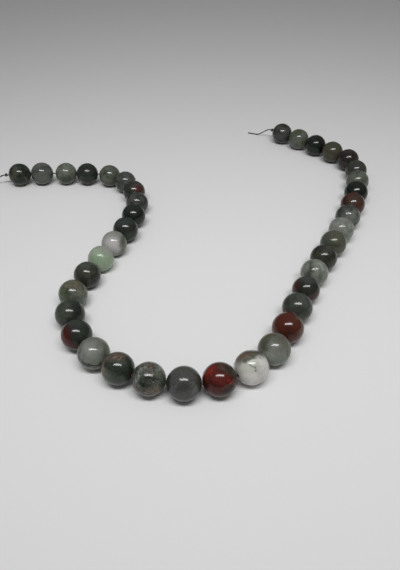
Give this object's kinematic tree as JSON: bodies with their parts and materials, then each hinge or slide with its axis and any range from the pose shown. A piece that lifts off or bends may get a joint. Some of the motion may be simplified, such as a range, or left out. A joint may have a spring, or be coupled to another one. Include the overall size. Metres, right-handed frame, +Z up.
{
  "type": "bloodstone bead strand",
  "caption": "Open strand of round polished bloodstone beads on a knotted nylon thread, lying on a table in a wide curve.",
  "frame": {"origin": "on the table under the middle of the strand's box", "axes": "+Z up; +Y away from the front bead, towards both ends; +X to the right"},
  "size_m": [0.1796, 0.1838, 0.0106],
  "materials": {
    "dark_green": "polished",
    "slate": "polished",
    "grey_green": "polished",
    "olive": "polished",
    "pale_green": "polished",
    "milky_quartz": "polished",
    "blood_red": "polished",
    "maroon": "polished",
    "nylon_thread": "satin"
  },
  "bodies": {
    "root": {"bead_01": "dark_green", "bead_02": "grey_green", "bead_03": "olive", "bead_04": "dark_green", "bead_05": "grey_green", "bead_06": "slate", "bead_07": "maroon", "bead_08": "slate", "bead_09": "dark_green", "bead_10": "dark_green", "bead_11": "milky_quartz", "bead_12": "pale_green", "bead_13": "dark_green", "bead_14": "olive", "bead_15": "slate", "bead_16": "dark_green", "bead_17": "grey_green", "bead_18": "dark_green", "bead_19": "olive", "bead_20": "slate", "bead_21": "blood_red", "bead_22": "milky_quartz", "bead_23": "grey_green", "bead_24": "blood_red", "bead_25": "slate", "bead_26": "maroon", "bead_27": "grey_green", "bead_28": "dark_green", "bead_29": "olive", "bead_30": "grey_green", "bead_31": "slate", "bead_32": "maroon", "bead_33": "dark_green", "bead_34": "olive", "bead_35": "slate", "bead_36": "dark_green", "bead_37": "olive", "bead_38": "dark_green", "bead_39": "grey_green", "bead_40": "slate", "thread": "nylon_thread"}
  },
  "joints": []
}
